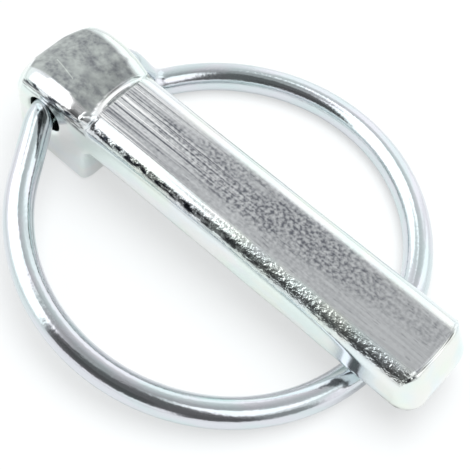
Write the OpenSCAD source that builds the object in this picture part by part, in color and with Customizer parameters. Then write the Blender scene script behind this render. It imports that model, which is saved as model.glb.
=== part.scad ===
// Linch pin: a forged steel pin with a wire ring held in the cross bore of its head.
// It lies as it comes to rest on a table, flat side up: the lug under the head and the
// ring both touch the table. The closed ring carries the tip, its +Y half lies flat and
// its -Y half rises to the bore.
// X runs along the shank towards the tip, Y across it, Z up from the table. Millimetres.

/* [Shank] */
// Width of the shank across the flat
shank_w = 10.5; // [9:0.1:13]
// Thickness of the shank, from its underside to the flat
shank_h = 6.6; // [6:0.1:8]
// Length that goes through a hole, from the shoulder to the tip
shank_len = 44.6; // [42:0.1:55]
// Radius of the two long edges of the flat
flat_edge_r = 2.0; // [1:0.1:3]
// Radius of the two long edges of the underside
under_edge_r = 2.4; // [1:0.1:3]
// How far the slope at the end of the tip reaches back along the flat
tip_slope_run = 2.0; // [0.5:0.1:3]
// How far that slope reaches down the end of the tip
tip_slope_drop = 3.6; // [2:0.1:4]
// Radius where the underside turns up into the end of the tip
tip_under_r = 2.5; // [0.5:0.1:3]
// Radius of the tip's two upright corners
tip_corner_r = 2.5; // [1:0.1:4]

/* [Head] */
// Length of the head, from its blunt end to the shoulder
head_len = 12.0; // [11.4:0.1:14]
// Height of the head's top above the flat
head_rise = 1.0; // [0.4:0.1:2]
// Depth of the lug below the underside of the shank
lug_depth = 5.2; // [4:0.1:6]
// Radius of the two long edges of the head's top
head_edge_r = 2.0; // [0.5:0.1:2.5]
// Radius of the two long edges of the lug
lug_edge_r = 0.9; // [0.5:0.1:2]
// Radius of the long round where the head's top runs down into its blunt end
end_top_r = 6.0; // [4:0.1:7]
// Radius where the lug turns up into the blunt end
end_under_r = 1.9; // [1:0.1:3]
// Radius of the upright corners of the blunt end
end_corner_r = 2.4; // [1:0.1:4]
// Radius of the lug's front edge, below the shoulder
lug_front_r = 1.3; // [1:0.1:2.5]
// Fillet between the shoulder and the underside of the shank
shoulder_fillet_r = 0.8; // [0.4:0.1:1.5]
// Radius of the hollow curve, seen from above, of the step down to the flat
step_curve_r = 11; // [8:0.5:20]
// Distance of the middle of the step behind the shoulder
step_setback = 0.3; // [0:0.1:1]

/* [Ring] */
// Diameter of the ring's wire
wire_d = 3.3; // [2.8:0.1:3.6]
// Inside diameter of the ring
ring_inside_d = 39.9; // [36:0.1:44]
// Distance from the cross bore's axis to the middle of the ring
ring_reach = 22.4; // [22:0.1:26]
// Radius of the bend into the bore at the -Y side, at the wire's centre
near_bend_r = 7.8; // [5:0.1:9]
// Angle of the bend into the bore at the -Y side
near_bend_angle = 34; // [32:1:40]
// Angle short of a half circle at which the +Y side leaves its arc
far_bend_angle = 31; // [29:1:36]
// Length from the end of that arc to the crank's lower corner
crank_lead = 2.2; // [2:0.1:3]
// Distance from the side of the head to the crank's upper corner
crank_out = 1.9; // [1.7:0.1:2.5]
// Radius of the crank's two bends, at the wire's centre
crank_bend_r = 3.0; // [2.5:0.1:3.2]
// Distance between the two cut ends of the wire inside the bore
end_gap = 1.4; // [0.5:0.1:3]

/* [Cross bore] */
// Distance of the bore's axis behind the shoulder
bore_setback = 6.5; // [5:0.1:7.5]
// Height of the bore's axis above the bottom of the lug
bore_height = 7.0; // [6:0.1:8]
// How far the -Y end of the wire lies off the bore's axis
near_end_offset = 0.5; // [0:0.1:0.5]
// Side to which the -Y end lies off the axis, counted from the tip upwards
near_end_side = 125; // [90:1:180]
// How far the +Y end lies off the axis, which sets the radius of the bore
far_end_offset = 0.5; // [0.5:0.1:1.4]
// Side to which the +Y end lies off the axis
far_end_side = -78; // [-90:1:-30]
// Running clearance between the wire and the wall of the bore
bore_clearance = 0.1; // [0.02:0.01:0.2]
// Chamfer at both mouths of the bore
mouth_chamfer = 0.4; // [0.2:0.1:0.8]

/* [Hidden] */
$fn = 96;

// Overlap of cutting shapes past the face that they cut
over = 1;
// Gap left between the closed ring and the shank that it lies against
seat_gap = 0.02;
// The wire's straight lengths run this far into the bends at their ends, and are this much
// slimmer in radius, so that they join inside them
lap = 0.2;
lap_step = 0.01;
// Straight length in the middle of the ring, where its two halves meet under the tip
tip_run = 0.5;

wire_r = wire_d / 2;
ring_r = (ring_inside_d + wire_d) / 2;
bore_r = far_end_offset + wire_r + bore_clearance;

// Pin frame: the origin is the middle of the cross bore, X runs along the shank.
shoulder_x = bore_setback;
end_x = shoulder_x - head_len;
tip_x = shoulder_x + shank_len;
step_x = shoulder_x - step_setback;
lug_z = -bore_height;
under_z = lug_z + lug_depth;
flat_z = under_z + shank_h;
head_z = flat_z + head_rise;

// Offsets of the wire's ends from the bore's axis
near_end = near_end_offset * [cos(near_end_side), 0, sin(near_end_side)];
far_end = far_end_offset * [cos(far_end_side), 0, sin(far_end_side)];

// The closed ring meets the underside of the shank. Its -Y half lies in the plane that
// holds that end of the wire and the middle of the ring under the tip.
near_reach = ring_reach + ring_r - near_end.x;
tip_drop = wire_r + seat_gap - under_z;
near_tilt = asin((near_end.z + tip_drop) / near_reach);
ring_tip = [near_end.x + near_reach * cos(near_tilt), 0, -tip_drop];

// The pin leans until the lug's front edge and the middle of the ring are level.
lug_axis_x = shoulder_x - lug_front_r;
lean_run = ring_tip.x - lug_axis_x;
lean_rise = lug_depth - wire_r - seat_gap - lug_front_r;
lean = atan2(lean_rise, lean_run)
    + asin((lug_front_r - wire_r) / norm([lean_run, lean_rise]));

// Lowest point of the leaning lug, and the foremost and rearmost points of the leaning pin
low_z = lug_axis_x * -sin(lean) + (lug_z + lug_front_r) * cos(lean) - lug_front_r;
front_x = tip_x * cos(lean) + (flat_z - tip_slope_drop) * sin(lean);
rear_x = (end_x + end_under_r) * cos(lean) + (lug_z + end_under_r) * sin(lean) - end_under_r;
middle_x = (front_x + rear_x) / 2;

// What is left over at a square corner outside an arc of radius r
module corner_waste(r) {
    difference() {
        translate([-over, -over]) square(r + over);
        translate([r, r]) circle(r);
    }
}

// Rectangle from low to high with its own radius at each corner, counted from the lower
// left one round to the upper left one
module rounded_rect(low, high, radii) {
    difference() {
        translate(low) square(high - low);
        translate(low) corner_waste(radii[0]);
        translate([high[0], low[1]]) mirror([1, 0]) corner_waste(radii[1]);
        translate(high) mirror([1, 0]) mirror([0, 1]) corner_waste(radii[2]);
        translate([low[0], high[1]]) mirror([0, 1]) corner_waste(radii[3]);
    }
}

// A cross-section (Y, Z) carried along X
module along_x(from_x, to_x) {
    translate([from_x, 0, 0]) rotate([90, 0, 90]) linear_extrude(to_x - from_x) children();
}

// A side view (X, Z) carried across the width
module across_y() {
    rotate([90, 0, 0]) linear_extrude(shank_w + 2 * over, center = true) children();
}

// A plan view (X, Y) carried up through the whole height
module up_z() {
    translate([0, 0, lug_z - over]) linear_extrude(head_z - lug_z + 2 * over) children();
}

// Side view (X, Z) of what the slope at the tip takes away
module tip_slope() {
    low = [tip_x, flat_z - tip_slope_drop];
    way = [-tip_slope_run, tip_slope_drop];
    polygon([low - way, low + 2 * way, low + 2 * way + [4 * tip_slope_run, 0]]);
}

// Shank: a bar with rounded edges whose tip slopes in side view and is rounded in plan
module shank() {
    half = shank_w / 2;
    intersection() {
        along_x(0, tip_x)
            rounded_rect([-half, under_z], [half, flat_z],
                         [under_edge_r, under_edge_r, flat_edge_r, flat_edge_r]);
        across_y() difference() {
            rounded_rect([-over, under_z], [tip_x, flat_z], [0, tip_under_r, 0, 0]);
            tip_slope();
        }
        up_z()
            rounded_rect([-over, -half], [tip_x, half], [0, tip_corner_r, tip_corner_r, 0]);
    }
}

// Side view of the head: blunt end, raised top, lug with its shoulder and fillet
module head_side() {
    rounded_rect([end_x, lug_z], [shoulder_x, under_z + over],
                 [end_under_r, lug_front_r, 0, 0]);
    rounded_rect([end_x, under_z], [tip_x / 2, head_z], [0, 0, 0, end_top_r]);
    translate([shoulder_x, under_z]) mirror([0, 1]) difference() {
        translate([-over, -over]) square(shoulder_fillet_r + over);
        translate([shoulder_fillet_r, shoulder_fillet_r]) circle(shoulder_fillet_r);
    }
}

// Head: the raised block and its lug. The step down to the flat is hollow in plan.
module head() {
    half = shank_w / 2;
    front_x = tip_x / 2;
    difference() {
        intersection() {
            along_x(end_x, front_x)
                rounded_rect([-half, lug_z], [half, head_z],
                             [lug_edge_r, lug_edge_r, head_edge_r, head_edge_r]);
            across_y() head_side();
            up_z()
                rounded_rect([end_x, -half], [front_x + over, half],
                             [end_corner_r, 0, 0, end_corner_r]);
        }
        translate([0, 0, under_z]) linear_extrude(head_z - under_z + over) {
            translate([step_x + step_curve_r, 0]) circle(step_curve_r);
            translate([step_x + step_curve_r, -half - over])
                square([front_x, shank_w + 2 * over]);
        }
    }
}

// Cross bore with a chamfer at each mouth
module cross_bore() {
    half = shank_w / 2;
    rotate([90, 0, 0]) cylinder(h = shank_w + 2 * over, r = bore_r, center = true);
    for (side = [-90, 90]) rotate([side, 0, 0]) translate([0, 0, half - mouth_chamfer])
        cylinder(h = mouth_chamfer + over, r1 = bore_r, r2 = bore_r + mouth_chamfer + over);
}

// Places a piece of the pin frame as it lies on the table
module at_rest() {
    translate([-middle_x, 0, -low_z]) rotate([0, lean, 0]) children();
}

module pin_body() {
    color("lightsteelblue") at_rest() difference() {
        union() {
            head();
            shank();
        }
        cross_bore();
    }
}

// Direction from one point to another
function heading(from, to) = (to - from) / norm(to - from);

// Angle through which a wire turns at a corner
function turn(before, corner, after) =
    acos(heading(before, corner) * heading(corner, after));

// Point of the ring, measured from its middle under the tip, in a plane tilted about Y
function ring_point(tilt, u, v) = ring_tip + [u * cos(tilt), v, -u * sin(tilt)];

// Point where a bend leaves the line that runs from a point to the bend's corner
function bend_start(before, corner, after, r) =
    corner - r * tan(turn(before, corner, after) / 2) * heading(before, corner);

// Straight length of wire
module wire_run(from, to) {
    way = heading(from, to);
    translate(from) rotate([0, acos(way.z), atan2(way.y, way.x)])
        translate([0, 0, -lap]) cylinder(h = norm(to - from) + 2 * lap, r = wire_r - lap_step);
}

// Bend of a wire that comes from one point and turns towards another at a corner
module wire_bend(before, corner, after, r) {
    way = heading(before, corner);
    onward = heading(corner, after);
    side = heading(way * (way * onward), onward);
    translate(bend_start(before, corner, after, r))
        rotate([atan2(side.z, cross(way, side).z), -asin(way.z), atan2(way.y, way.x)])
            translate([0, r, 0]) rotate([0, 0, -90])
                rotate_extrude(angle = turn(before, corner, after))
                    translate([r, 0]) circle(wire_r);
}

// Half of the ring's round part on the +Y side, from its middle under the tip
module ring_arc(tilt, sweep) {
    translate(ring_point(tilt, -ring_r, tip_run / 2)) rotate([0, tilt, 0])
        rotate_extrude(angle = sweep) translate([ring_r, 0]) circle(wire_r);
}

// -Y side: the arc, a straight run and one bend into the bore
module near_side() {
    bend = near_bend_angle;
    arc_u = -ring_r * (1 + cos(bend));
    arc_v = -ring_r * sin(bend) - tip_run / 2;
    run = (near_reach + arc_u) / sin(bend);
    arc_end = ring_point(near_tilt, arc_u, arc_v);
    corner = ring_point(near_tilt, -near_reach, arc_v + run * cos(bend));
    cut_end = near_end - [0, end_gap / 2, 0];
    mirror([0, 1, 0]) ring_arc(near_tilt, 180 - bend);
    wire_run(arc_end, bend_start(arc_end, corner, cut_end, near_bend_r));
    wire_bend(arc_end, corner, cut_end, near_bend_r);
    wire_run(bend_start(cut_end, corner, arc_end, near_bend_r), cut_end + [0, -lap, 0]);
}

// +Y side: the arc flat on the table, then a crank that climbs to the bore
module far_side() {
    bend = far_bend_angle;
    arc_u = -ring_r * (1 + cos(bend));
    arc_v = ring_r * sin(bend) + tip_run / 2;
    arc_end = ring_point(-lean, arc_u, arc_v);
    low_corner = ring_point(-lean, arc_u - crank_lead * sin(bend),
                            arc_v - crank_lead * cos(bend));
    high_corner = far_end + [0, shank_w / 2 + crank_out, 0];
    cut_end = far_end + [0, end_gap / 2, 0];
    ring_arc(-lean, 180 - bend);
    wire_run(arc_end, bend_start(arc_end, low_corner, high_corner, crank_bend_r));
    wire_bend(arc_end, low_corner, high_corner, crank_bend_r);
    wire_run(bend_start(high_corner, low_corner, arc_end, crank_bend_r),
             bend_start(low_corner, high_corner, cut_end, crank_bend_r));
    wire_bend(low_corner, high_corner, cut_end, crank_bend_r);
    wire_run(bend_start(cut_end, high_corner, low_corner, crank_bend_r),
             cut_end + [0, lap, 0]);
}

// Ring: one length of round wire, whose ends enter the bore from both sides off its axis
module snap_ring() {
    color("gainsboro") at_rest() {
        near_side();
        far_side();
        wire_run(ring_tip - [0, tip_run / 2, 0], ring_tip + [0, tip_run / 2, 0]);
    }
}

pin_body();
snap_ring();
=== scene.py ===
"""Looks of the linch pin: a forged, zinc plated pin and its sprung wire ring.

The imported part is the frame. Both of its nodes are replaced by finer meshes of the same
sizes: the pin is meshed from a distance field, so that its forged edges blend softly, and
the ring is swept along the wire's own path. Sizes are in millimetres in the pin's own frame
(origin in the middle of the cross bore, X along the shank), then placed on the table.
"""

import logging
import math
from dataclasses import dataclass, field
from enum import Enum
from functools import partial
from typing import Any, Callable, Sequence

import bpy
import numpy as np
from mathutils import Matrix, Vector

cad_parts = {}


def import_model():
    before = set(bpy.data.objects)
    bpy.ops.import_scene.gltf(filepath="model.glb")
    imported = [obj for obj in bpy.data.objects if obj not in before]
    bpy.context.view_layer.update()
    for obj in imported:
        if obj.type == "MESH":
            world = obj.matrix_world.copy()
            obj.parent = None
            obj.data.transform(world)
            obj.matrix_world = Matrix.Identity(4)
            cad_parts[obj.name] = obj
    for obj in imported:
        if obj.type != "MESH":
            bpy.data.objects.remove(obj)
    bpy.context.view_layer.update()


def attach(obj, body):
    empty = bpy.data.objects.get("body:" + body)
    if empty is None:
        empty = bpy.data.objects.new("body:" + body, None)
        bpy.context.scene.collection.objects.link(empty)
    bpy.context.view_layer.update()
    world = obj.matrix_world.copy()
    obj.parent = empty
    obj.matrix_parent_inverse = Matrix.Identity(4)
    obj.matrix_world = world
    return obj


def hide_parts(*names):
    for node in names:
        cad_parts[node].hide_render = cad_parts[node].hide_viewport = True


LOG = logging.getLogger("linch_pin")
MM = 0.001
SEED = 7

Array = np.ndarray
Span = tuple[float, float]
Place = tuple[float, float, float]
Window = tuple[float, float, float, float]
Adder = Callable[..., Any]

# Kinds of node that come up often, and their settings
MATH, MIX, REMAP = "ShaderNodeMath", "ShaderNodeMix", "ShaderNodeMapRange"
TIMES, TIMES_PLUS = {"operation": "MULTIPLY"}, {"operation": "MULTIPLY_ADD"}
MINUS, NEAR = {"operation": "SUBTRACT"}, {"operation": "COMPARE"}
COLOURS, SOFT = {"data_type": "RGBA"}, {"interpolation_type": "SMOOTHSTEP"}


class Slot(Enum):
    """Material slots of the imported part."""

    FORGING = "plated_forging"
    WIRE = "plated_wire"


class Body(Enum):
    """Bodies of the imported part."""

    PIN = "pin"
    RING = "ring"


# ---- small helpers


def unit(vector: Sequence[float]) -> Array:
    """Returns the vector at length one."""
    values = np.asarray(vector, dtype=float)
    return values / np.linalg.norm(values)


def smooth_step(low: float, high: float, value: Array) -> Array:
    """Rises softly from 0 to 1.

    Args:
        low: Value at which the rise starts.
        high: Value at which it ends.
        value: Values to map.

    Returns:
        The mapped values, between 0 and 1.
    """
    ratio = np.clip((value - low) / (high - low), 0.0, 1.0)
    return ratio * ratio * (3.0 - 2.0 * ratio)


def blend(first: Any, second: Any, share: Any) -> Any:
    """Returns the mix of two values, 0 for the first and 1 for the second."""
    return first * (1.0 - share) + second * share


def between(window: Window, value: Array) -> Array:
    """Returns 1 between the soft border at the window's start and the one at its end."""
    return smooth_step(*window[:2], value) * (1.0 - smooth_step(*window[2:], value))


def linear_colour(code: str) -> tuple[float, ...]:
    """Turns an sRGB hex colour into linear RGBA.

    Args:
        code: Colour such as "c8ced0".

    Returns:
        Linear red, green and blue, and an alpha of one.
    """
    channels = [int(code[i : i + 2], 16) / 255.0 for i in (0, 2, 4)]
    linear = [c / 12.92 if c <= 0.04045 else ((c + 0.055) / 1.055) ** 2.4 for c in channels]
    return (*linear, 1.0)


def add_node(
    tree: bpy.types.NodeTree,
    kind: str,
    settings: dict[str, Any] | None = None,
    inputs: dict[Any, Any] | None = None,
) -> Any:
    """Adds one node with its settings and links.

    Args:
        tree: Node tree that takes the node.
        kind: Blender's type name of the node.
        settings: Attributes of the node, by name. "stops" sets the stops of a ramp.
        inputs: Values or output sockets for its inputs, by name or number.

    Returns:
        First output socket that is in use, or None for a node without outputs.
    """
    node = tree.nodes.new(kind)
    for name, value in (settings or {}).items():
        if name != "stops":
            setattr(node, name, value)
            continue
        elements = node.color_ramp.elements
        while len(elements) < len(value):
            elements.new(0.5)
        for element, (position, grey) in zip(elements, value):
            element.position, element.color = position, (grey, grey, grey, 1.0)
    for key, value in (inputs or {}).items():
        if isinstance(value, bpy.types.NodeSocket):
            tree.links.new(value, node.inputs[key])
        else:
            node.inputs[key].default_value = value
    return next((socket for socket in node.outputs if socket.enabled), None)


def new_material(name: str) -> tuple[bpy.types.Material, Adder]:
    """Makes an empty material.

    Args:
        name: Name of the material.

    Returns:
        The material, and the function that adds a node to it.
    """
    material = bpy.data.materials.new(name)
    material.use_nodes = True
    material.node_tree.nodes.clear()
    return material, partial(add_node, material.node_tree)


def add_metal(node: Adder, colour: Any, rough: Any, height: Any) -> None:
    """Ends a material as bare metal.

    Args:
        node: Function that adds a node.
        colour: Socket with the colour.
        rough: Roughness, as a number or a socket.
        height: Socket with the relief in millimetres.
    """
    bump = node("ShaderNodeBump", {}, {"Height": height, "Distance": MM, "Strength": 1.0})
    shader = node(
        "ShaderNodeBsdfPrincipled", {},
        {"Base Color": colour, "Roughness": rough, "Normal": bump, "Metallic": 1.0},
    )
    node("ShaderNodeOutputMaterial", {}, {"Surface": shader})


@dataclass(frozen=True)
class Grain:
    """Noise whose cells have a real size, cut to run from 0 to 1."""

    cell: Place
    low: float
    high: float
    detail: float = 2.0
    shift: float = 0.0

    def build(self, node: Adder, place: Any) -> Any:
        """Adds the pattern.

        Args:
            node: Function that adds a node.
            place: Socket with the position in millimetres.

        Returns:
            Socket with the pattern's value.
        """
        scale = tuple(1.0 / size for size in self.cell)
        moved = {0: place, 1: scale, 2: (self.shift,) * 3}
        stretched = node("ShaderNodeVectorMath", TIMES_PLUS, moved)
        noise = node(
            "ShaderNodeTexNoise", {}, {"Vector": stretched, "Scale": 1.0, "Detail": self.detail}
        )
        return node(REMAP, SOFT, {"Value": noise, "From Min": self.low, "From Max": self.high})


# ---- sizes


@dataclass(frozen=True)
class PinSizes:
    """Sizes of the forged pin, in millimetres."""

    width: float = 10.5
    height: float = 6.6
    length: float = 44.6
    flat_edge: float = 2.0
    under_edge: float = 2.4
    slope_run: float = 2.0
    slope_drop: float = 3.6
    tip_under: float = 2.5
    tip_corner: float = 2.5
    head_length: float = 12.0
    head_rise: float = 1.0
    lug_depth: float = 5.2
    lug_edge: float = 0.9
    end_top: float = 6.0
    end_under: float = 1.9
    end_corner: float = 2.4
    lug_front: float = 1.3
    step_curve: float = 11.0
    step_setback: float = 0.3
    bore_setback: float = 6.5
    bore_height: float = 7.0
    bore_radius: float = 2.25
    mouth: float = 0.4

    @property
    def end_x(self) -> float:
        """Position of the blunt end."""
        return self.bore_setback - self.head_length

    @property
    def tip_x(self) -> float:
        """Position of the tip."""
        return self.bore_setback + self.length

    @property
    def lug_z(self) -> float:
        """Height of the bottom of the lug."""
        return -self.bore_height

    @property
    def under_z(self) -> float:
        """Height of the shank's underside."""
        return self.lug_z + self.lug_depth

    @property
    def flat_z(self) -> float:
        """Height of the flat."""
        return self.under_z + self.height

    @property
    def head_z(self) -> float:
        """Height of the head's top."""
        return self.flat_z + self.head_rise


@dataclass(frozen=True)
class WireSizes:
    """Sizes of the ring's wire and its bends, in millimetres."""

    diameter: float = 3.3
    inside: float = 39.9
    reach: float = 22.4
    near_bend: float = 7.8
    near_angle: float = 34.0
    far_angle: float = 31.0
    crank_lead: float = 2.2
    crank_out: float = 1.9
    crank_bend: float = 3.0
    end_gap: float = 1.4
    near_offset: float = 0.5
    near_side: float = 125.0
    far_offset: float = 0.5
    far_side: float = -78.0
    seat_gap: float = 0.02
    tip_run: float = 0.5

    @property
    def radius(self) -> float:
        """Radius of the wire."""
        return self.diameter / 2.0

    @property
    def ring_radius(self) -> float:
        """Radius of the ring at the wire's centre."""
        return (self.inside + self.diameter) / 2.0


@dataclass
class Rest:
    """How the pin and its closed ring lie on the table."""

    pin: PinSizes
    wire: WireSizes
    near_end: Array = field(init=False)
    far_end: Array = field(init=False)
    near_reach: float = field(init=False)
    near_tilt: float = field(init=False)
    ring_tip: Array = field(init=False)
    lean: float = field(init=False)
    middle_x: float = field(init=False)
    low_z: float = field(init=False)

    def __post_init__(self) -> None:
        """Works out the tilt of the ring and the lean of the pin."""
        pin, wire = self.pin, self.wire
        near, far = math.radians(wire.near_side), math.radians(wire.far_side)
        self.near_end = wire.near_offset * np.array([math.cos(near), 0.0, math.sin(near)])
        self.far_end = wire.far_offset * np.array([math.cos(far), 0.0, math.sin(far)])
        self.near_reach = wire.reach + wire.ring_radius - self.near_end[0]
        drop = wire.radius + wire.seat_gap - pin.under_z
        self.near_tilt = math.asin((self.near_end[2] + drop) / self.near_reach)
        along = self.near_end[0] + self.near_reach * math.cos(self.near_tilt)
        self.ring_tip = np.array([along, 0.0, -drop])
        front = pin.bore_setback - pin.lug_front
        run = along - front
        rise = pin.lug_depth - wire.radius - wire.seat_gap - pin.lug_front
        swing = math.asin((pin.lug_front - wire.radius) / math.hypot(run, rise))
        self.lean = math.atan2(rise, run) + swing
        sine, cosine = math.sin(self.lean), math.cos(self.lean)
        self.low_z = -front * sine + (pin.lug_z + pin.lug_front) * cosine - pin.lug_front
        fore = pin.tip_x * cosine + (pin.flat_z - pin.slope_drop) * sine
        aft = (pin.end_x + pin.end_under) * cosine + (pin.lug_z + pin.end_under) * sine
        self.middle_x = (fore + aft - pin.end_under) / 2.0

    def place(self, points: Array) -> Array:
        """Carries points from the pin frame in millimetres to the table in metres.

        Args:
            points: Points in the pin frame.

        Returns:
            The same points on the table.
        """
        sine, cosine = math.sin(self.lean), math.cos(self.lean)
        x = points[:, 0] * cosine + points[:, 2] * sine - self.middle_x
        z = points[:, 2] * cosine - points[:, 0] * sine - self.low_z
        return np.stack([x, points[:, 1], z], axis=1) * MM


# ---- distance fields


def rounded_block(
    across: Array, up: Array, low: Sequence[float], high: Sequence[float], radii: Sequence[float]
) -> Array:
    """Distance to a rectangle with its own radius at each corner.

    Args:
        across: First coordinates.
        up: Second coordinates.
        low: Lower left corner.
        high: Upper right corner.
        radii: Radii from the lower left corner round to the upper left one.

    Returns:
        Distances, negative inside.
    """
    a = across - (low[0] + high[0]) / 2.0
    b = up - (low[1] + high[1]) / 2.0
    right = np.where(b < 0.0, radii[1], radii[2])
    left = np.where(b < 0.0, radii[0], radii[3])
    radius = np.where(a > 0.0, right, left)
    qa = np.abs(a) - (high[0] - low[0]) / 2.0 + radius
    qb = np.abs(b) - (high[1] - low[1]) / 2.0 + radius
    outside = np.hypot(np.maximum(qa, 0.0), np.maximum(qb, 0.0))
    return outside + np.minimum(np.maximum(qa, qb), 0.0) - radius


def joined(first: Array, second: Array, fillet: Any) -> Array:
    """Distance to the union of two shapes with a fillet where they meet.

    Args:
        first: Distances to one shape.
        second: Distances to the other.
        fillet: Size of the fillet.

    Returns:
        Distances to the union.
    """
    close = np.maximum(fillet - np.abs(first - second), 0.0) / fillet
    return np.minimum(first, second) - close * close * fillet / 4.0


def shared(first: Array, second: Array, radius: Any) -> Array:
    """Distance to what two shapes share, with its edges rounded.

    Args:
        first: Distances to one shape.
        second: Distances to the other.
        radius: Radius of the rounded edges.

    Returns:
        Distances to the common part.
    """
    corner = np.hypot(np.maximum(first + radius, 0.0), np.maximum(second + radius, 0.0))
    return np.minimum(-radius, np.maximum(first, second)) + corner


def surface_net(values: Array, origin: Array, cell: float) -> tuple[Array, Array]:
    """Meshes the zero level of a sampled field with one point in each crossed cell.

    Args:
        values: Field at the corners of a regular grid, negative inside.
        origin: Position of the grid's first corner.
        cell: Size of a cell.

    Returns:
        Points, and the quads that join them.
    """
    orders = ((0, 1, 2), (1, 2, 0), (2, 0, 1))
    shape = np.array(values.shape) - 1
    total, count = np.zeros((*shape, 3)), np.zeros(shape)
    for order in orders:
        turned = values.transpose(order)
        low, high = turned[:-1], turned[1:]
        crossed = (low < 0.0) != (high < 0.0)
        share = np.where(crossed, low / np.where(crossed, low - high, 1.0), 0.0)
        sums, hits = total.transpose(*order, 3), count.transpose(order)
        for a, b in ((0, 0), (0, 1), (1, 0), (1, 1)):
            part = (slice(None), slice(a, a + hits.shape[1]), slice(b, b + hits.shape[2]))
            for column, amount in zip(order, (share[part], a, b)):
                sums[..., column] += crossed[part] * amount
            hits += crossed[part]
    used = count > 0
    number = np.full(shape, -1)
    number[used] = np.arange(int(used.sum()))
    points = origin + cell * (np.argwhere(used) + total[used] / count[used][:, None])
    quads = []
    for order in orders:
        inside = values.transpose(order)[:, 1:-1, 1:-1] < 0.0
        numbers = number.transpose(order)
        along, side, up = np.argwhere(inside[:-1] != inside[1:]).T
        corners = ((0, 0), (1, 0), (1, 1), (0, 1))
        quad = np.stack([numbers[along, side + a, up + b] for a, b in corners], axis=1)
        inward = ~inside[along, side, up]
        quad[inward] = quad[inward][:, ::-1]
        quads.append(quad)
    return points, np.concatenate(quads)


def make_mesh(name: str, points: Array, faces: Sequence[Any]) -> bpy.types.Object:
    """Makes a smooth shaded object.

    Args:
        name: Name of the piece.
        points: Points in metres.
        faces: Faces as rows of point numbers.

    Returns:
        The new object, linked to the scene.
    """
    mesh = bpy.data.meshes.new(name)
    mesh.from_pydata([tuple(p) for p in points.tolist()], [], [tuple(f) for f in faces])
    mesh.validate()
    mesh.polygons.foreach_set("use_smooth", [True] * len(mesh.polygons))
    mesh.update()
    piece = bpy.data.objects.new(name, mesh)
    bpy.context.scene.collection.objects.link(piece)
    return piece


def add_layers(piece: bpy.types.Object, layers: dict[str, Array]) -> None:
    """Stores values at the points of a piece, for its material to read.

    Args:
        piece: Piece that takes the values.
        layers: One number or one vector per point, by name.
    """
    for name, values in layers.items():
        vector = values.ndim == 2
        kind, field_name = ("FLOAT_VECTOR", "vector") if vector else ("FLOAT", "value")
        layer = piece.data.attributes.new(name, kind, "POINT")
        layer.data.foreach_set(field_name, values.astype(np.float32).ravel())


# ---- the forged pin


@dataclass(frozen=True)
class MarkLimits:
    """Where the marks on the pin start and end.

    Depths, heights and runs are in millimetres. The others are parts of the unit normal.
    """

    top: Window = (-0.11, -0.03, 0.03, 0.34)
    shank_start: float = 0.2
    flat_up: Span = (0.80, 0.93)
    flat_depth: float = 0.5
    far_fade: Span = (2.2, 3.5)
    far_loss: float = 0.4
    head_up: Span = (0.25, 0.40)
    head_depth: float = 2.6
    head_ahead: float = 0.4
    band: Window = (0.08, 0.20, 0.80, 0.97)
    band_run: Span = (16.0, 40.0)
    ragged: Window = (0.48, 0.62, 0.84, 0.95)
    ragged_head: Span = (0.55, 0.80)
    ragged_height: float = 2.5
    ragged_share: float = 0.4
    edge_depth: float = 2.2
    ahead: Span = (0.12, 0.32)
    speckle_middle: Span = (0.6, 2.0)
    middle_run: Span = (26.0, 44.0)
    speckle_reach: Span = (1.2, 2.6)
    reach_run: Span = (12.0, 24.0)
    speckle_side: Span = (0.6, 1.5)
    speckle_start: Span = (8.0, 14.0)
    speckle_end: Span = (33.0, 45.0)
    speckle_left: float = 0.4
    faint: Span = (0.3, 0.1)
    faint_run: Span = (34.0, 42.0)
    scale: Window = (0.53, 0.62, 0.78, 0.88)
    scale_head: Span = (0.6, 0.85)
    scale_height: Span = (2.4, 3.2)
    scale_depth: float = 2.4
    scale_run: Span = (20.0, 36.0)
    scale_loss: float = 0.5
    tip_run: Span = (-5.0, -2.0)
    corner_side: Span = (0.12, 0.25)
    corner_ahead: Span = (0.08, 0.2)
    corner_up: Window = (0.66, 0.74, 0.84, 0.92)
    corner_depth: Span = (-1.3, -0.9)
    rim_shade: Span = (-0.28, -0.04)


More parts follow.
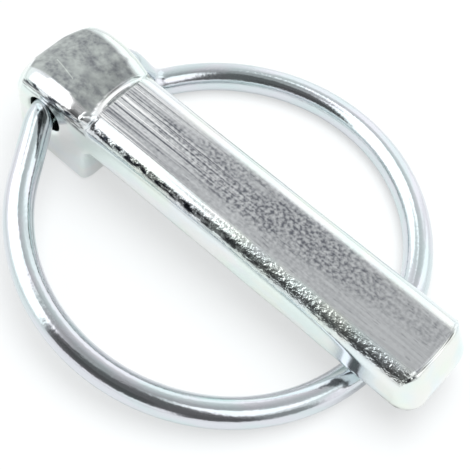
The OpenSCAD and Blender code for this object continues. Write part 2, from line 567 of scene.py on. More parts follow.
@dataclass
class ForgedPin:
    """The solid pin: shank with its pressed flat, raised head, lug and cross bore."""

    sizes: PinSizes
    rest: Rest
    limits: MarkLimits = MarkLimits()
    cell: float = 0.2
    margin: Span = (2.31, 3.0)
    passes: int = 4
    least_steepness: float = 0.25
    slope_reach: float = 0.02
    upset: Span = (0.35, 0.55)
    near_edge: float = 0.5
    bevel_width: float = 1.0
    bevel_angle: float = math.radians(27.0)
    bevel_round: float = 0.35
    far_edge: Span = (2.3, 3.1)
    shank_far_edge: float = 2.6
    upper_corner: float = 3.4
    step_draft: float = 0.9
    step_edge: float = 0.1
    brow_rise: float = 0.42
    brow_angle: float = math.radians(13.0)
    brow_round: float = 0.25
    step_fillet: float = 0.06
    shoulder_fillet: float = 1.4
    fillet_depth: float = 1.0
    tip_edge: float = 0.6
    forging_wave: float = 0.03
    wave_count: int = 9
    wave_turn: Span = (0.35, 1.1)
    wave_start: Span = (0.0, 6.28)
    wave_share: float = 0.25
    # Runs over which one form gives way to the next, from the face or axis they belong to
    shoulder_run: Span = (-0.8, 0.6)
    upper_run: Span = (2.2, 3.6)
    far_run: Span = (1.5, 5.0)
    tip_run: Span = (-4.0, -1.2)
    corner_run: Span = (0.0, 3.5)
    end_run: Span = (1.2, 3.4)
    swell_up: Span = (2.7, 4.9)
    swell_start: Span = (0.0, 3.8)
    swell_end: Span = (3.0, 9.0)
    bevel_run: Span = (2.4, 3.6)
    still_run: Span = (0.5, 2.5)
    # Shapes that another one cuts off or covers: how far they run on, and their crisp edges
    beyond: float = 20.0
    overlap: float = 0.5
    past_side: float = 1.0
    bar_start: float = 3.0
    crisp: float = 0.1
    out_of_reach: float = 6.0

    def head_share(self, x: Array) -> Array:
        """Returns 1 along the head and 0 along the shank, with a soft change between them."""
        return 1.0 - smooth_step(*self.shoulder_run, x - self.sizes.bore_setback)

    def edge_radius(self, points: Array) -> Array:
        """Gives the edge radius between the pin's sides and its other faces.

        Args:
            points: Points in the pin frame.

        Returns:
            Radius at each point.
        """
        s = self.sizes
        x, y, z = points.T
        head = self.head_share(x)
        far = blend(*self.far_edge, smooth_step(*self.far_run, x))
        shank = np.where(y > 0.0, self.shank_far_edge, s.flat_edge)
        upper = blend(shank, np.where(y > 0.0, far, self.near_edge), head)
        lower = blend(s.under_edge, s.lug_edge, head)
        radius = blend(lower, upper, smooth_step(*self.upper_run, z - s.under_z))
        radius = blend(radius, s.tip_corner, smooth_step(*self.tip_run, x - s.tip_x))
        corner = blend(s.end_corner, self.upper_corner, smooth_step(*self.corner_run, z))
        return blend(corner, radius, smooth_step(*self.end_run, x - s.end_x))

    def swelling(self, points: Array) -> Array:
        """Gives how far the pressed head swells past the shank, above the bore only.

        Args:
            points: Points in the pin frame.

        Returns:
            Extra half width at each point.
        """
        x, y, z = points.T
        most = np.where(y < 0.0, self.upset[0], self.upset[1])
        along = smooth_step(*self.swell_start, x - self.sizes.end_x)
        along = along * (1.0 - smooth_step(*self.swell_end, x))
        return most * smooth_step(*self.swell_up, z) * self.head_share(x) * along

    def outline(self, points: Array) -> Array:
        """Gives the distance to the pin's outline as seen from the side, with its bowed step.

        Args:
            points: Points in the pin frame.

        Returns:
            Distances, negative inside.
        """
        s, crisp = self.sizes, self.crisp
        x, y, z = points.T
        lug = rounded_block(
            x, z, (s.end_x - self.beyond, s.lug_z), (s.bore_setback, s.flat_z - self.overlap),
            (crisp, s.lug_front, crisp, crisp),
        )
        curve = np.minimum(np.abs(y), s.width / 2.0 + self.past_side)
        from_step = x - s.step_curve + np.sqrt(s.step_curve**2 - curve**2)
        step_x = s.bore_setback - s.step_setback
        draft = self.step_draft * (s.head_z - z) / s.head_rise
        block = rounded_block(
            from_step - np.clip(draft, 0.0, self.step_draft), z,
            (s.end_x - self.beyond, s.under_z + self.overlap),
            (step_x - self.step_draft, s.head_z),
            (crisp, crisp, self.step_edge, crisp),
        )
        foot = step_x - self.step_draft * self.brow_rise / s.head_rise
        brow = (from_step - foot) * math.sin(self.brow_angle)
        brow = brow + (z - s.flat_z - self.brow_rise) * math.cos(self.brow_angle)
        block = shared(block, brow, self.brow_round)
        bar = rounded_block(
            x, z, (s.end_x + self.bar_start, s.under_z), (s.tip_x, s.flat_z),
            (crisp, s.tip_under, crisp, crisp),
        )
        fall = (x - s.tip_x) * s.slope_drop + (z - s.flat_z + s.slope_drop) * s.slope_run
        bar = shared(bar, fall / math.hypot(s.slope_run, s.slope_drop), self.tip_edge)
        low = z < s.flat_z - self.fillet_depth
        fillet = np.where(low, self.shoulder_fillet, self.step_fillet)
        upper = shared(z - s.head_z, s.end_x - x, s.end_top)
        lower = shared(s.lug_z - z, s.end_x - x, s.end_under)
        outline = joined(np.minimum(lug, block), bar, fillet)
        return np.maximum(outline, np.maximum(upper, lower))

    def field(self, points: Array) -> Array:
        """Gives the distance of points to the pin's surface.

        Args:
            points: Points in the pin frame.

        Returns:
            Distances, negative inside the steel.
        """
        s = self.sizes
        x, y, z = points.T
        outline = self.outline(points)
        side = np.abs(y) - s.width / 2.0 - self.swelling(points)
        distance = shared(outline, side, self.edge_radius(points))
        # Only the upper near edge of the head is bevelled; elsewhere the bevel is out of reach
        cut = (y < 0.0) * self.head_share(x) * smooth_step(*self.bevel_run, z)
        bevel = outline * math.cos(self.bevel_angle)
        bevel = bevel + (side + self.bevel_width) * math.sin(self.bevel_angle)
        bevel = bevel - self.out_of_reach * (1.0 - cut)
        distance = shared(distance, bevel, self.bevel_round)
        distance = distance + self.forging_wave * self.wave(points)
        return shared(distance, s.bore_radius - np.hypot(x, z), s.mouth)

    def wave(self, points: Array) -> Array:
        """Gives the long, shallow unevenness of a hammered bar, fading out at the table.

        Args:
            points: Points in the pin frame.

        Returns:
            Values between about -1 and 1.
        """
        value = np.zeros(len(points))
        generator = np.random.default_rng(SEED)
        for _ in range(self.wave_count):
            way = unit(generator.normal(size=3)) * generator.uniform(*self.wave_turn)
            value += np.sin(points @ way + generator.uniform(*self.wave_start))
        keep = smooth_step(*self.still_run, points[:, 2] - self.sizes.lug_z)
        return self.wave_share * value * keep

    def mesh_points(self) -> tuple[Array, Array]:
        """Meshes the field and pulls every point onto the exact surface.

        Returns:
            Points in the pin frame, and quads.
        """
        s, cell = self.sizes, self.cell
        low = np.array([s.end_x, -s.width / 2.0, s.lug_z]) - self.margin[0] * cell
        high = np.array([s.tip_x, s.width / 2.0, s.head_z]) + self.margin[1] * cell
        counts = np.ceil((high - low) / cell).astype(int) + 1
        axes = [low[i] + cell * np.arange(counts[i]) for i in range(3)]
        grid = np.stack(np.meshgrid(*axes, indexing="ij"), axis=-1).reshape(-1, 3)
        points, quads = surface_net(self.field(grid).reshape(counts), low, cell)
        for _ in range(self.passes):
            slope = self.slope(points)
            steepness = np.maximum((slope * slope).sum(axis=1), self.least_steepness)
            points = points - slope * (self.field(points) / steepness)[:, None]
        return points, quads

    def slope(self, points: Array) -> Array:
        """Gives the field's gradient.

        Args:
            points: Points in the pin frame.

        Returns:
            One gradient vector per point.
        """
        columns = []
        for axis in range(3):
            step = np.zeros(3)
            step[axis] = self.slope_reach
            change = self.field(points + step) - self.field(points - step)
            columns.append(change / (2.0 * self.slope_reach))
        return np.stack(columns, axis=1)

    def masks(self, points: Array) -> dict[str, Array]:
        """Works out where the pin was pressed flat and where its edge was hammered.

        Args:
            points: Points in the pin frame, on the surface.

        Returns:
            A value from 0 to 1 per point, by name of the mask.
        """
        s, m = self.sizes, self.limits
        x, y, z = points.T
        normal = self.slope(points)
        normal /= np.linalg.norm(normal, axis=1)[:, None]
        forward, up, near = normal[:, 0], normal[:, 2], -normal[:, 1]
        depth = z - s.flat_z
        shank = x > s.bore_setback + m.shank_start
        top = between(m.top, -near)
        flat = top * smooth_step(*m.flat_up, up) * shank * (depth > -m.flat_depth)
        flat = flat * (1.0 - m.far_loss * smooth_step(*m.far_fade, y))
        head = top * smooth_step(*m.head_up, up) * (depth > -m.head_depth)
        head = head * (forward < m.head_ahead) * ~shank
        # Hammered facets: all over the edge near the tip, only low on it elsewhere
        ahead = 1.0 - smooth_step(*m.ahead, forward)
        whole = between(m.band, near) * smooth_step(*m.band_run, x)
        ragged_head = smooth_step(*m.ragged_head, near) * (z > m.ragged_height)
        ragged = np.where(shank, between(m.ragged, near), ragged_head)
        edge = np.maximum(whole, ragged * m.ragged_share) * (depth > -m.edge_depth) * ahead
        # Mottling: a patch that widens and drifts to the far side, and a trace everywhere
        middle = blend(*m.speckle_middle, smooth_step(*m.middle_run, x))
        reach = blend(*m.speckle_reach, smooth_step(*m.reach_run, x))
        speckle = 1.0 - smooth_step(*m.speckle_side, np.abs(y - middle) / reach)
        speckle = speckle * smooth_step(*m.speckle_start, x)
        speckle = speckle * blend(1.0, m.speckle_left, smooth_step(*m.speckle_end, x))
        speckle = np.maximum(speckle, blend(*m.faint, smooth_step(*m.faint_run, x)))
        # Burnt scale: low on the near edge and at the tip's near corner. Round the tip's underside
        # the same dark colour is a painted contact shadow and a painted reflection
        scale_head = smooth_step(*m.scale_head, near) * smooth_step(*m.scale_height, z)
        scale = np.where(shank, between(m.scale, near), scale_head)
        scale = scale * (depth > -m.scale_depth) * ahead
        scale = scale * (1.0 - m.scale_loss * smooth_step(*m.scale_run, x))
        corner = smooth_step(*m.corner_side, near) * smooth_step(*m.corner_ahead, forward)
        corner = corner * between(m.corner_up, up)
        corner = corner * smooth_step(*m.corner_depth, depth)
        rim_shade = 1.0 - smooth_step(*m.rim_shade, up)
        tip = smooth_step(*m.tip_run, x - s.tip_x)
        scale = np.maximum(scale, tip * np.maximum(corner, rim_shade))
        return {"flat": flat, "head": head, "edge": edge, "speckle": speckle, "scale": scale}

    def build(self, material: bpy.types.Material) -> bpy.types.Object:
        """Builds the pin with the masks that its material reads.

        Args:
            material: Finish of the pin.

        Returns:
            The finished piece.
        """
        points, quads = self.mesh_points()
        piece = make_mesh("pin_forging", self.rest.place(points), quads)
        add_layers(piece, {"place": points, **self.masks(points)})
        piece.data.materials.append(material)
        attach(piece, Body.PIN.value)
        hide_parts("pin_body")
        return piece


# ---- the ring


@dataclass
class SnapRing:
    """The wire ring, whose -Y half rises to the bore and whose +Y half is cranked up to it."""

    wire: WireSizes
    pin: PinSizes
    rest: Rest
    sides: int = 40
    spacing: float = 0.3
    cut_chamfer: float = 0.25
    least_step: float = 1e-6
    least_count: int = 4

    def in_plane(self, tilt: float, u: float, v: float) -> Array:
        """Gives a point measured from the ring's middle under the tip.

        Args:
            tilt: Tilt of the plane about Y, in radians.
            u: Distance along the plane.
            v: Distance across the pin.

        Returns:
            The point in the pin frame.
        """
        return self.rest.ring_tip + np.array([u * math.cos(tilt), v, -u * math.sin(tilt)])

    def bend(self, before: Array, corner: Array, after: Array, radius: float) -> list[Array]:
        """Gives the points of a bend that rounds a corner of the wire.

        Args:
            before: Point that the wire comes from.
            corner: Corner of the two straight lines.
            after: Point that it goes to.
            radius: Radius at the wire's centre.

        Returns:
            Points along the bend.
        """
        way, onward = unit(corner - before), unit(after - corner)
        turn = math.acos(float(np.clip(way @ onward, -1.0, 1.0)))
        side = unit(onward - way * float(way @ onward))
        start = corner - way * radius * math.tan(turn / 2.0)
        count = max(self.least_count, int(radius * turn / self.spacing) + 1)
        angles = np.linspace(0.0, turn, count)
        return [start + radius * (way * math.sin(a) + side * (1.0 - math.cos(a))) for a in angles]

    def arc(self, tilt: float, sweep: float, side: float) -> list[Array]:
        """Gives the points of one half of the round part, from under the tip to its end.

        Args:
            tilt: Tilt of its plane, in radians.
            sweep: Angle that it covers, in radians.
            side: 1 for the +Y half and -1 for the -Y half.

        Returns:
            Points along the arc.
        """
        radius, run = self.wire.ring_radius, self.wire.tip_run / 2.0
        angles = np.linspace(0.0, sweep, int(radius * sweep / self.spacing) + 1)
        return [
            self.in_plane(tilt, radius * (math.cos(a) - 1.0), side * (run + radius * math.sin(a)))
            for a in angles
        ]

    def near_side(self) -> list[Array]:
        """Gives the -Y half, from the cut end in the bore to the middle under the tip.

        Returns:
            Points along it.
        """
        wire, rest = self.wire, self.rest
        angle = math.radians(wire.near_angle)
        u = -wire.ring_radius * (1.0 + math.cos(angle))
        v = -wire.ring_radius * math.sin(angle) - wire.tip_run / 2.0
        run = (rest.near_reach + u) / math.sin(angle)
        arc_end = self.in_plane(rest.near_tilt, u, v)
        corner = self.in_plane(rest.near_tilt, -rest.near_reach, v + run * math.cos(angle))
        cut_end = rest.near_end - np.array([0.0, wire.end_gap / 2.0, 0.0])
        path = [cut_end, *self.bend(cut_end, corner, arc_end, wire.near_bend)]
        return path + self.arc(rest.near_tilt, math.pi - angle, -1.0)[::-1]

    def far_side(self) -> list[Array]:
        """Gives the +Y half, from the middle under the tip to the cut end in the bore.

        Returns:
            Points along it.
        """
        wire, rest = self.wire, self.rest
        angle = math.radians(wire.far_angle)
        sine, cosine = math.sin(angle), math.cos(angle)
        u, v = -wire.ring_radius * (1.0 + cosine), wire.ring_radius * sine + wire.tip_run / 2.0
        arc_end = self.in_plane(-rest.lean, u, v)
        lead = wire.crank_lead
        low = self.in_plane(-rest.lean, u - lead * sine, v - lead * cosine)
        out = np.array([0.0, self.pin.width / 2.0 + wire.crank_out, 0.0])
        high = rest.far_end + out
        cut_end = rest.far_end + np.array([0.0, wire.end_gap / 2.0, 0.0])
        path = self.arc(-rest.lean, math.pi - angle, 1.0)
        path += self.bend(arc_end, low, high, wire.crank_bend)
        path += self.bend(low, high, cut_end, wire.crank_bend)
        return [*path, cut_end]

    def path(self) -> Array:
        """Gives evenly spaced points along the whole wire.

        Returns:
            Points in the pin frame.
        """
        points = np.array(self.near_side() + self.far_side())
        steps = np.linalg.norm(np.diff(points, axis=0), axis=1)
        points = points[np.concatenate([[True], steps > self.least_step])]
        along = np.concatenate([[0.0], np.cumsum(np.linalg.norm(np.diff(points, axis=0), axis=1))])
        even = np.linspace(0.0, along[-1], int(along[-1] / self.spacing) + 1)
        return np.stack([np.interp(even, along, points[:, i]) for i in range(3)], axis=1)

    def build(self, material: bpy.types.Material) -> bpy.types.Object:
        """Sweeps the wire along its path and closes its cut ends.

        Args:
            material: Finish of the wire.

        Returns:
            The finished piece.
        """
        path = self.path()
        tangent = np.gradient(path, axis=0)
        tangent /= np.linalg.norm(tangent, axis=1)[:, None]
        side = unit(np.cross(tangent[0], [0.0, 0.0, 1.0]))
        rings = []
        angles = np.linspace(0.0, 2.0 * math.pi, self.sides, endpoint=False)
        radius = self.wire.radius
        sizes = np.full(len(path), radius)
        sizes[[0, -1]] -= self.cut_chamfer
        round_it = np.stack([np.cos(angles), np.sin(angles)], axis=1)
        for middle, way, size in zip(path, tangent, sizes):
            side = unit(side - way * float(side @ way))
            rings.append(middle + size * round_it @ np.stack([side, np.cross(way, side)]))
        points = np.concatenate(rings)
        count, total = self.sides, len(rings)
        ends = count * (total - 1)
        here = np.arange(ends).reshape(-1, count)
        after = np.roll(here, -1, axis=1)
        walls = np.stack([here, after, after + count, here + count], axis=-1).reshape(-1, 4)
        caps = [range(count)[::-1], range(ends, ends + count)]
        faces = [*walls.tolist(), *caps]
        piece = make_mesh("ring_wire", self.rest.place(points), faces)
        along = np.repeat(np.arange(total) * self.spacing, count)
        place = np.column_stack([along, radius * np.tile(round_it, (total, 1))])
        add_layers(piece, {"place": place})
        piece.data.materials.append(material)
        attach(piece, Body.RING.value)
        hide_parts("snap_ring")
        return piece


# ---- finishes


@dataclass(frozen=True)
class ZincForging:
    """Bright zinc over a forged and pressed steel bar. Sizes are in millimetres."""

    mint: str = "dde7e3"
    lilac: str = "e3e4e8"
    cyan: str = "d6e7ea"
    straw: str = "e8e9de"
    # Dark colour of the forge scale, also used for the painted shade round the tip's underside
    scale: str = "2f343c"
    dark_grey: str = "6c6f76"
    light_grey: str = "e6e9ea"
    # Near white of the painted highlights on the crests between the score lines
    ridge_highlight: str = "fafbfb"
    head_grey: str = "e0e8e2"
    roughness: float = 0.15
    flat_roughness: float = 0.36
    # Lightness of the tops, and how much each mark changes it
    grey: float = 0.62
    score_mean: float = 0.72
    score_shading: float = 0.75
    line_contrast: float = 0.1
    dash_contrast: float = -0.26
    groove_shade: float = -0.5
    mottle_contrast: float = -0.7
    cloud_contrast: float = 0.34
    head_shade: float = -0.38
    scratch_contrast: float = 0.35
    # Press score lines about 0.4 mm apart that run out along the flat, each at its own place;
    # besides their relief they are drawn darker as painted shade in their grooves and lighter as
    # painted highlight on their crests
    scores: Grain = Grain((70.0, 0.36, 40.0), 0.38, 0.6, 1.0)
    uneven: Grain = Grain((30.0, 0.9, 40.0), 0.3, 0.7, 0.0, 7.0)
    score_start: float = 13.0
    score_end: float = 30.0
    score_fray: float = 14.0
    score_height: float = 0.012
    # Fine crests between the score lines, drawn 0.1 mm wide, each with a painted highlight in near
    # white
    ridges: Grain = Grain((90.0, 0.5, 40.0), 0.0, 1.0, 1.0, 27.0)
    ridge_level: float = 0.54
    ridge_fade: Span = (0.05, 0.01)
    ridge_height: float = 0.025
    # Drawing lines of about 0.2 mm, drawn as wide as they need to show
    lines: Grain = Grain((6.0, 0.26, 30.0), 0.35, 0.65, 1.0, 9.0)
    # Dashes of 1 to 2 mm that lie along the pin
    dashes: Grain = Grain((1.5, 0.22, 0.3), 0.58, 0.72, 2.0, 21.0)
    # Mottling with spots of 0.2 to 0.4 mm, in patches that are longer along the pin
    spots: Grain = Grain((0.42, 0.38, 0.4), 0.32, 0.72, 6.0)
    patches: Grain = Grain((8.0, 2.2, 3.0), 0.15, 0.48, 1.0, 3.0)
    grit_height: float = 0.006
    # Groove and burr where the flat ends, bowed towards the tip; the groove is also darkened in
    # the colour as painted shade
    groove_setback: float = 1.98
    groove_bow: float = 0.03
    groove_fade: Span = (0.2, 0.04)
    groove_depth: float = 0.06
    # Clouds of 1 to 2 mm on the head's top, and one scratch across it: its side, slant,
    # half width, middle and half length
    clouds: Grain = Grain((1.7, 1.2, 1.2), 0.3, 0.7, 5.0, 17.0)
    scratch_side: float = -1.95
    scratch_slant: float = 0.231
    scratch_half: float = 0.05
    scratch_middle: float = 0.4
    scratch_reach: float = 1.6
    # Tints of the zinc, 3 to 6 mm across, and more of the second pair towards the tip
    tints: Grain = Grain((5.0, 3.0, 3.0), 0.35, 0.65, 1.0, 11.0)
    sheen: Grain = Grain((6.0, 4.0, 4.0), 0.4, 0.6, 2.0, 31.0)
    sheen_run: Span = (30.0, 46.0)
    sheen_share: Span = (0.25, 0.45)
    # Burnt scale of 0.4 to 1 mm left in the ragged lower side of the near edge; the same pattern
    # paints the shade round the tip's underside
    burnt: Grain = Grain((1.2, 0.45, 0.45), 0.42, 0.56, 3.0, 13.0)
    # Hammered near edge: facets of about 0.3 mm
    facets: Grain = Grain((0.45, 0.3, 0.3), 0.22, 0.78, 2.0, 5.0)
    hammer_height: float = 0.036

    def patterns(self, node: Adder, place: Any, pin: PinSizes) -> dict[str, Any]:
        """Adds the patterns, each kept to the part of the pin that it belongs to.

        Args:
            node: Function that adds a node.
            place: Socket with the position in millimetres.
            pin: Sizes of the pin, which the patterns are fitted to.

        Returns:
            Socket of each pattern and mask, by name.
        """
        found = {
            name: value.build(node, place)
            for name, value in vars(self).items()
            if isinstance(value, Grain)
        }
        for name in ("flat", "head", "edge", "speckle", "scale"):
            layer = node("ShaderNodeAttribute", {"attribute_name": name})
            found[name] = layer.node.outputs["Fac"]
        x, y, _ = node("ShaderNodeSeparateXYZ", {}, {0: place}).node.outputs
        found["dull"] = node(MATH, {"operation": "MAXIMUM"}, {0: found["flat"], 1: found["head"]})
        run = node(MATH, TIMES_PLUS, {0: found["uneven"], 1: -self.score_fray, 2: x})
        start, end = self.score_start - self.score_fray, self.score_end - self.score_fray
        found["reach"] = node(REMAP, {}, {"Value": run, "From Min": end, "From Max": start})
        bow = node(MATH, TIMES, {0: y, 1: y})
        found["groove"] = node(MATH, TIMES_PLUS, {0: bow, 1: self.groove_bow, 2: x})
        for name, level, (none, full) in (
            ("ridges", self.ridge_level, self.ridge_fade),
            ("groove", pin.tip_x - self.groove_setback, self.groove_fade),
        ):
            away = node(MATH, MINUS, {0: found[name], 1: level})
            away = node(MATH, {"operation": "ABSOLUTE"}, {0: away})
            found[name] = node(REMAP, {}, {"Value": away, "From Min": none, "From Max": full})
        found["lines"] = node(MATH, MINUS, {0: found["lines"], 1: 0.5})
        side = node(MATH, TIMES_PLUS, {0: x, 1: self.scratch_slant, 2: y})
        found["side"] = node(MATH, NEAR, {0: side, 1: self.scratch_side, 2: self.scratch_half})
        found["scratch"] = node(MATH, NEAR, {0: x, 1: self.scratch_middle, 2: self.scratch_reach})
        for name, mask in (
            ("reach", "flat"), ("ridges", "reach"), ("lines", "flat"), ("dashes", "flat"),
            ("patches", "speckle"), ("spots", "patches"), ("burnt", "scale"),
            ("facets", "edge"), ("scratch", "side"),
        ):
            found[name] = node(MATH, TIMES, {0: found[name], 1: found[mask]})
        clouds, scratch = found["clouds"], found["scratch"]
        # head_shade darkens the head's whole top as painted shade, under its clouds and scratch
        clouds = node(MATH, TIMES_PLUS, {0: clouds, 1: self.cloud_contrast, 2: self.head_shade})
        clouds = node(MATH, TIMES_PLUS, {0: scratch, 1: self.scratch_contrast, 2: clouds})
        found["clouds"] = clouds
        (first, last), (least, most) = self.sheen_run, self.sheen_share
        found["towards"] = node(
            REMAP, {},
            {"Value": x, "From Min": first, "From Max": last, "To Min": least, "To Max": most},
        )
        return found

    def colour(self, node: Adder, found: dict[str, Any]) -> Any:
        """Adds the colour: grey tops with painted shade and highlights along their score lines,
        and tinted zinc elsewhere with forge scale and a painted shade round the tip's underside.

        Args:
            node: Function that adds a node.
            found: Socket of each pattern and mask, by name.

        Returns:
            Socket with the colour.
        """
        # The score lines are drawn darker and lighter, as painted shade and highlight, and the
        # groove darker, as painted shade
        level = node(MATH, MINUS, {0: found["scores"], 1: self.score_mean})
        level = node(MATH, TIMES, {0: level, 1: found["reach"]})
        level = node(MATH, TIMES_PLUS, {0: level, 1: self.score_shading, 2: self.grey})
        for name, share in (
            ("lines", self.line_contrast),
            ("dashes", self.dash_contrast),
            ("groove", self.groove_shade),
            ("clouds", found["head"]),
            ("spots", self.mottle_contrast),
        ):
            level = node(MATH, TIMES_PLUS, {0: found[name], 1: share, 2: level})
        mixed: dict[str, Any] = {
            name: linear_colour(value)
            for name, value in vars(self).items()
            if isinstance(value, str)
        }
        # The near white on the crests is a painted highlight; the scale colour also paints the
        # shade round the tip's underside
        for name, share, first, second in (
            ("pale", found["head"], "light_grey", "head_grey"),
            ("top", level, "dark_grey", "pale"),
            ("top", found["ridges"], "top", "ridge_highlight"),
            ("bright", found["tints"], "mint", "lilac"),
            ("shine", found["sheen"], "cyan", "straw"),
            ("bright", found["towards"], "bright", "shine"),
            ("bright", found["burnt"], "bright", "scale"),
            ("colour", found["dull"], "bright", "top"),
        ):
            parts = {"Factor": share, "A": mixed[first], "B": mixed[second]}
            mixed[name] = node(MIX, COLOURS, parts)
        return mixed["colour"]

    def material(self, pin: PinSizes) -> bpy.types.Material:
        """Makes the finish.

        Args:
            pin: Sizes of the pin, which the patterns are fitted to.

        Returns:
            The material.
        """
        # The eye sees bright rounded edges with a breath of mint and lilac in the zinc, and
        # grey tops: scored along the flat from the step on, then mottled towards the tip.
        material, node = new_material("zinc_plated_forged_steel")
        place = node("ShaderNodeAttribute", {"attribute_name": "place"}).node.outputs["Vector"]
        found = self.patterns(node, place, pin)
        colour = self.colour(node, found)
        rough = node(
            REMAP, {},
            {"Value": found["dull"], "To Min": self.roughness, "To Max": self.flat_roughness},
        )
        scored = node(MATH, TIMES, {0: found["scores"], 1: found["reach"]})
        pits = node(MATH, TIMES, {0: found["spots"], 1: found["dull"]})
        height = node(MATH, TIMES, {0: found["facets"], 1: self.hammer_height})
        for pattern, rise in (
            (found["ridges"], self.ridge_height),
            (scored, self.score_height),
            (pits, -self.grit_height),
            (found["groove"], -self.groove_depth),
        ):
            height = node(MATH, TIMES_PLUS, {0: pattern, 1: rise, 2: height})
        add_metal(node, colour, rough, height)
        return material


@dataclass(frozen=True)
class ZincWire:
    """Bright zinc over smooth drawn wire. Sizes are in millimetres."""

    cool: str = "cad6d9"
    lilac: str = "d3d5dc"
    tints: Grain = Grain((6.0, 1.6, 1.6), 0.35, 0.65, 1.0)
    roughness: float = 0.13
    # Die lines 0.2 mm apart, broken every few millimetres
    lines: Grain = Grain((5.0, 0.2, 0.2), 0.3, 0.7, 2.0, 4.0)
    line_height: float = 0.0012
    # Grain of the zinc, 0.3 mm, which frays the borders of the bands
    grain: Grain = Grain((0.45, 0.3, 0.3), 0.25, 0.75, 3.0, 9.0)
    grain_height: float = 0.0045

    def material(self) -> bpy.types.Material:
        """Makes the finish.

        Returns:
            The material.
        """
        # The eye sees sharp light and dark bands that run along the wire, bluish or lilac,
        # with the faint lines of the drawing die.
        material, node = new_material("zinc_plated_drawn_wire")
        place = node("ShaderNodeAttribute", {"attribute_name": "place"}).node.outputs["Vector"]
        tint = self.tints.build(node, place)
        cool, lilac = linear_colour(self.cool), linear_colour(self.lilac)
        colour = node(MIX, COLOURS, {"Factor": tint, "A": cool, "B": lilac})
        height = node(MATH, TIMES, {0: self.lines.build(node, place), 1: self.line_height})
        grain = self.grain.build(node, place)
        height = node(MATH, TIMES_PLUS, {0: grain, 1: self.grain_height, 2: height})
        add_metal(node, colour, self.roughness, height)
        return material


# ---- studio


@dataclass(frozen=True)
class Panel:
    """Part of the surroundings that the metal mirrors, as a window of directions.

    Turns are in degrees about Z from -Y towards +X, heights in degrees above the floor.
    """

    turn: Span
    height: Span
    level: float
    skew: float = 0.0
    soft: float = 3.0

    def window(self, node: Adder, value: Any, span: Span) -> Any:
        """Adds a soft edged window over one angle.

        Args:
            node: Function that adds a node.
            value: Socket with the angle in degrees.
            span: First and last angle.

        Returns:
            Socket that is 1 inside the window.
        """
        edges = [
            node(REMAP, SOFT, {"Value": value, "From Min": edge - reach, "From Max": edge + reach})
            for edge, reach in ((span[0], self.soft), (span[1], -self.soft))
        ]
        return node(MATH, TIMES, {0: edges[0], 1: edges[1]})

    def paint(self, node: Adder, under: Any, turn: Any, height: Any) -> Any:
        """Paints the panel over what lies behind it.

        Args:
            node: Function that adds a node.
            under: Socket with the brightness so far.
            turn: Socket with the direction's turn.
            height: Socket with the direction's height.

        Returns:
            Socket with the new brightness.
        """
        middle = (self.turn[0] + self.turn[1]) / 2.0
        slant = node(MATH, TIMES_PLUS, {0: turn, 1: -self.skew, 2: middle * self.skew})
        level = node(MATH, {"operation": "ADD"}, {0: height, 1: slant})
        sides = self.window(node, turn, self.turn)
        ends = self.window(node, level, self.height)
        mask = node(MATH, TIMES, {0: sides, 1: ends})
        return node(MIX, {"data_type": "FLOAT"}, {"Factor": mask, "A": under, "B": self.level})


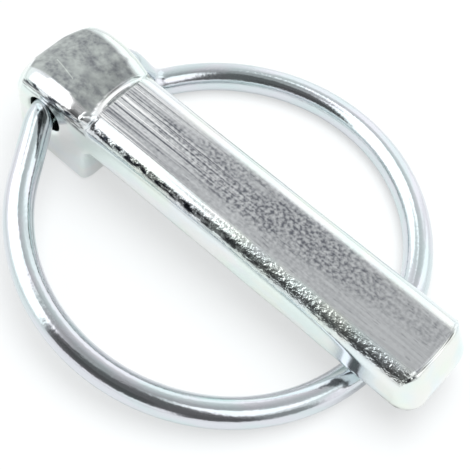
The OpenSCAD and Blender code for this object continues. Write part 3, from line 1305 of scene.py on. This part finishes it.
@dataclass(frozen=True)
class Studio:
    """White floor, soft lamp, mirrored surroundings and the camera."""

    target: Place = (1.91, -1.28, 5.0)
    distance: float = 114.79
    azimuth: float = -54.19
    elevation: float = 58.29
    roll: float = 6.52
    focal: float = 1080.99
    centre: Span = (233.45, 235.15)
    frame: float = 470.0
    sensor: float = 36.0
    clip: Span = (0.005, 20.0)
    # The floor as the metal mirrors it and as the camera sees it: paper, and its own glow
    floor_colours: tuple[str, str] = ("bcbebd", "949798")
    floor_glow: Span = (0.33, 0.56)
    floor_half: float = 3.0
    lamp_place: Place = (16.0, 20.0, 200.0)
    lamp_size: Span = (200.0, 140.0)
    lamp_power: float = 0.45
    # Plain light of the surroundings, for other rays and for the camera
    plain: Span = (0.75, 1.0)
    white: str = "ffffff"
    wall: tuple[Span, ...] = ((0.0, 1.15), (0.35, 1.1), (0.75, 0.9), (0.92, 0.66), (1.0, 0.45))
    panels: tuple[Panel, ...] = (
        Panel((-26.0, 66.0), (17.0, 78.0), 0.15, 0.25),
        Panel((-25.0, 30.0), (25.0, 48.0), 0.1),
        Panel((-100.0, -28.0), (17.0, 71.0), 1.9, -0.15),
        Panel((-136.0, -96.0), (56.0, 75.0), 1.9),
        Panel((62.0, 112.0), (44.0, 80.0), 1.6, 0.15),
        Panel((-200.0, -146.0), (-20.0, 43.0), 1.35),
        Panel((172.0, 200.0), (-20.0, 43.0), 1.35),
        Panel((120.0, 145.0), (40.0, 58.0), 0.25),
        Panel((100.0, 134.0), (8.0, 34.0), 1.45),
        Panel((146.0, 166.0), (14.0, 52.0), 1.5),
        Panel((60.0, 88.0), (2.0, 34.0), 0.35, 0.0, 5.0),
        Panel((34.0, 66.0), (3.0, 30.0), 0.12, 0.0, 4.0),
    )

    def camera(self) -> None:
        """Makes the camera."""
        azimuth, elevation = math.radians(self.azimuth), math.radians(self.elevation)
        level = math.cos(elevation)
        away = Vector(
            (level * math.cos(azimuth), level * math.sin(azimuth), math.sin(elevation))
        )
        data = bpy.data.cameras.new("camera")
        data.sensor_width = self.sensor
        data.sensor_fit = "HORIZONTAL"
        data.lens = self.focal / self.frame * self.sensor
        data.shift_x = (self.frame / 2.0 - self.centre[0]) / self.frame
        data.shift_y = (self.centre[1] - self.frame / 2.0) / self.frame
        data.clip_start, data.clip_end = self.clip
        camera = bpy.data.objects.new("camera", data)
        place = (Vector(self.target) + away * self.distance) * MM
        turn = (-away).to_track_quat("-Z", "Y").to_matrix().to_4x4()
        roll = Matrix.Rotation(math.radians(self.roll), 4, "Z")
        camera.matrix_world = Matrix.Translation(place) @ turn @ roll
        bpy.context.scene.collection.objects.link(camera)
        bpy.context.scene.camera = camera

    def floor(self) -> None:
        """Makes the white floor, which shows white and still takes the shadow."""
        material, node = new_material("white_sheet")
        seen = node("ShaderNodeLightPath").node.outputs["Is Camera Ray"]
        mirrored, shown = (linear_colour(code) for code in self.floor_colours)
        colour = node(MIX, COLOURS, {"Factor": seen, "A": mirrored, "B": shown})
        paper = node("ShaderNodeBsdfDiffuse", {}, {"Color": colour})
        least, most = self.floor_glow
        strength = node(REMAP, {}, {"Value": seen, "To Min": least, "To Max": most})
        glow = node(
            "ShaderNodeEmission", {}, {"Color": linear_colour(self.white), "Strength": strength}
        )
        bright = node("ShaderNodeAddShader", {}, {0: paper, 1: glow})
        node("ShaderNodeOutputMaterial", {}, {"Surface": bright})
        corners = np.array([[-1, -1, 0], [1, -1, 0], [1, 1, 0], [-1, 1, 0]]) * self.floor_half
        floor = make_mesh("floor", corners, [(0, 1, 2, 3)])
        floor.data.materials.append(material)

    def lamp(self) -> None:
        """Makes the soft lamp overhead, which the metal doesn't mirror."""
        data = bpy.data.lights.new("key", "AREA")
        data.shape = "RECTANGLE"
        data.size, data.size_y = self.lamp_size[0] * MM, self.lamp_size[1] * MM
        data.energy = self.lamp_power
        lamp = bpy.data.objects.new("key", data)
        lamp.location = Vector(self.lamp_place) * MM
        lamp.visible_camera = False
        lamp.visible_glossy = False
        lamp.rotation_euler = (-Vector(self.lamp_place)).to_track_quat("-Z", "Y").to_euler()
        bpy.context.scene.collection.objects.link(lamp)

    def world(self) -> None:
        """Makes the surroundings: a pale tent with soft boxes, open towards the camera."""
        world = bpy.data.worlds.new("studio")
        bpy.context.scene.world = world
        world.use_nodes = True
        world.node_tree.nodes.clear()
        node = partial(add_node, world.node_tree)
        way = node("ShaderNodeTexCoord").node.outputs["Generated"]
        x, y, z = node("ShaderNodeSeparateXYZ", {}, {0: way}).node.outputs
        back = node(MATH, TIMES, {0: y, 1: -1.0})
        turn = node(MATH, {"operation": "ARCTAN2"}, {0: x, 1: back})
        height = node(MATH, {"operation": "ARCSINE"}, {0: z})
        turn, height = (node(MATH, {"operation": "DEGREES"}, {0: a}) for a in (turn, height))
        level = node("ShaderNodeValToRGB", {"stops": self.wall}, {"Fac": z})
        for panel in self.panels:
            level = panel.paint(node, level, turn, height)
        white = linear_colour(self.white)
        tent = node("ShaderNodeBackground", {}, {"Color": white, "Strength": level})
        rays = node("ShaderNodeLightPath").node.outputs
        least, most = self.plain
        glow = node(
            REMAP, {}, {"Value": rays["Is Camera Ray"], "To Min": least, "To Max": most}
        )
        plain = node("ShaderNodeBackground", {}, {"Color": white, "Strength": glow})
        mix = node("ShaderNodeMixShader", {}, {0: rays["Is Glossy Ray"], 1: plain, 2: tent})
        node("ShaderNodeOutputWorld", {}, {"Surface": mix})

    def build(self) -> None:
        """Builds camera, floor, surroundings and lamp."""
        self.camera()
        self.floor()
        self.world()
        self.lamp()
        bpy.context.scene.view_settings.view_transform = "Standard"


def report(piece: bpy.types.Object) -> None:
    """Logs the size of a piece."""
    LOG.info("%s: %d faces", piece.name, len(piece.data.polygons))


def main() -> None:
    """Builds the pin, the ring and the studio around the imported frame."""
    logging.basicConfig(level=logging.INFO, format="%(name)s: %(message)s")
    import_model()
    pin_sizes, wire_sizes = PinSizes(), WireSizes()
    rest = Rest(pin_sizes, wire_sizes)
    report(ForgedPin(pin_sizes, rest).build(ZincForging().material(pin_sizes)))
    report(SnapRing(wire_sizes, pin_sizes, rest).build(ZincWire().material()))
    Studio().build()


if __name__ == "__main__":
    main()
